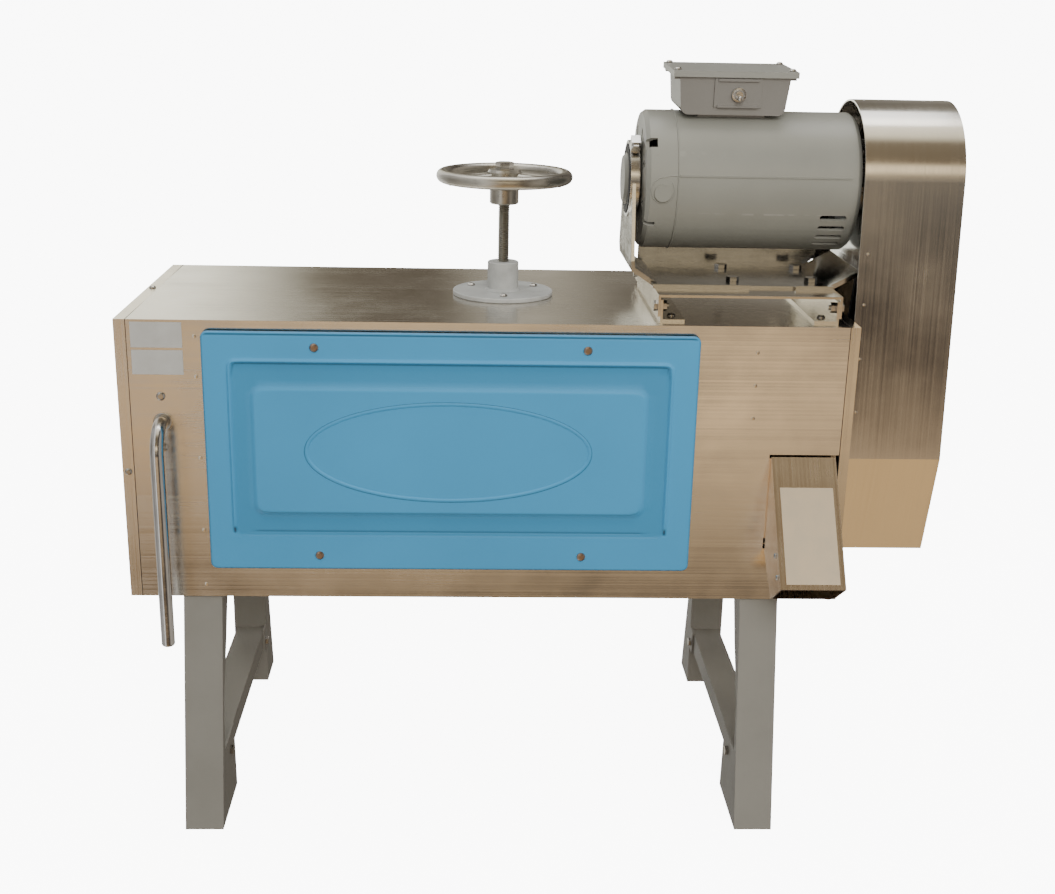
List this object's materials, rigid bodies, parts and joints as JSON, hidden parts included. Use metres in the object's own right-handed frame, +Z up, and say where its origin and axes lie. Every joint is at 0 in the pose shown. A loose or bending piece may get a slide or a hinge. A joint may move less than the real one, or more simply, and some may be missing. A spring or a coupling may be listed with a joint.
{
  "type": "shaved ice machine",
  "caption": "Block-ice shaver: closed steel case on splayed legs, hinged front door, feed lever, hold-down handwheel, belt-driven knife disc and slanted chute.",
  "frame": {"origin": "on the floor, under the middle of the machine's overall box", "axes": "+X to the viewer's right along the case towards the belt guard, -Y the front with the door, +Z up"},
  "size_m": [0.984, 0.511, 0.9207],
  "materials": {
    "stainless": "brushed stainless sheet",
    "grey_paint": "grey enamel",
    "bright_zinc": "zinc plate",
    "blue_enamel": "smooth blue enamel",
    "white_liner": "white enamel",
    "dark_iron": "dark cast iron",
    "light_casting": "matte grey casting",
    "rubber": "black rubber",
    "blank_label": "satin film",
    "stand_paint": "grey-beige enamel"
  },
  "bodies": {
    "frame": {"case_body": "stainless", "left_end_cover": "stainless", "right_end_cover": "stainless", "case_screws": "bright_zinc", "knife_bulkhead": "stainless", "drive_wall": "grey_paint", "floor_liner": "stainless", "snow_slide": "stainless", "chute": "stainless", "label_plates": "blank_label", "front_left_leg": "stand_paint", "front_right_leg": "stand_paint", "back_left_leg": "stand_paint", "back_right_leg": "stand_paint", "braces": "stand_paint", "stand_bolts": "bright_zinc", "catch_magnets": "dark_iron", "hinge_case_leaf": "bright_zinc", "hinge_pin": "bright_zinc", "lever_bearings": "grey_paint", "press_flange": "light_casting", "shaft_housing": "grey_paint", "shaft_bearings": "bright_zinc", "drive_belt": "rubber", "motor_shell": "grey_paint", "motor_end_bells": "grey_paint", "motor_bearings": "bright_zinc", "cushion_rings": "rubber", "motor_cradle": "grey_paint", "cradle_clamps": "bright_zinc", "motor_plate": "stainless", "foot_brackets": "stainless", "drive_bolts": "bright_zinc", "junction_box": "grey_paint", "junction_lid": "grey_paint", "switch_plate": "bright_zinc", "belt_guard": "stainless"},
    "door": {"door_panel": "blue_enamel", "door_liner": "white_liner", "door_screws": "bright_zinc", "strike_plates": "bright_zinc", "hinge_door_leaf": "bright_zinc"},
    "feed_lever": {"lever_rod": "bright_zinc", "swing_arms": "grey_paint", "shaft_collars": "bright_zinc", "arm_pin": "bright_zinc"},
    "pusher": {"pusher_plate": "stainless"},
    "press_head": {"press_plate": "stainless"},
    "press_wheel": {"press_screw": "dark_iron", "handwheel": "bright_zinc", "wheel_nut": "bright_zinc"},
    "cutter": {"cutter_shaft": "bright_zinc", "knife_disc": "stainless", "knives": "bright_zinc", "knife_screws": "dark_iron", "disc_nut": "bright_zinc", "driven_pulley": "dark_iron"},
    "rotor": {"motor_rotor": "dark_iron", "drive_pulley": "dark_iron"},
    "toggle": {"switch_toggle": "bright_zinc"}
  },
  "joints": [
    {"name": "door_hinge", "type": "hinge", "parent": "frame", "child": "door", "pos_m": [-0.107, -0.1585, 0.6158], "axis": [-1, 0, 0], "range_deg": [0, 92]},
    {"name": "lever_swing", "type": "hinge", "parent": "frame", "child": "feed_lever", "pos_m": [-0.442, 0.021, 0.509], "axis": [0, -1, 0], "range_deg": [0, 75]},
    {"name": "pusher_pivot", "type": "hinge", "parent": "feed_lever", "child": "pusher", "pos_m": [-0.442, 0.021, 0.344], "axis": [0, -1, 0], "range_deg": [-75, 0]},
    {"name": "press_slide", "type": "slide", "parent": "frame", "child": "press_head", "axis": [0, 0, -1], "range_m": [0, 0.065]},
    {"name": "wheel_turn", "type": "hinge", "parent": "press_head", "child": "press_wheel", "pos_m": [-0.042, 0.0215, 0.7], "axis": [0, 0, -1], "range_deg": [0, 4680]},
    {"name": "cutter_spin", "type": "hinge", "parent": "frame", "child": "cutter", "pos_m": [0.242, 0.021, 0.4595], "axis": [1, 0, 0], "continuous": true},
    {"name": "rotor_spin", "type": "hinge", "parent": "frame", "child": "rotor", "pos_m": [0.248, -0.0095, 0.782], "axis": [1, 0, 0], "continuous": true},
    {"name": "switch_throw", "type": "hinge", "parent": "frame", "child": "toggle", "pos_m": [0.2285, -0.05475, 0.886], "axis": [-1, 0, 0], "range_deg": [0, 24]}
  ],
  "couplings": [
    {"joint": "pusher_pivot", "follows": "lever_swing", "ratio": -1},
    {"joint": "press_slide", "follows": "wheel_turn", "m_per_rad": 0.00079577},
    {"joint": "rotor_spin", "follows": "cutter_spin", "ratio": 3.0385}
  ]
}
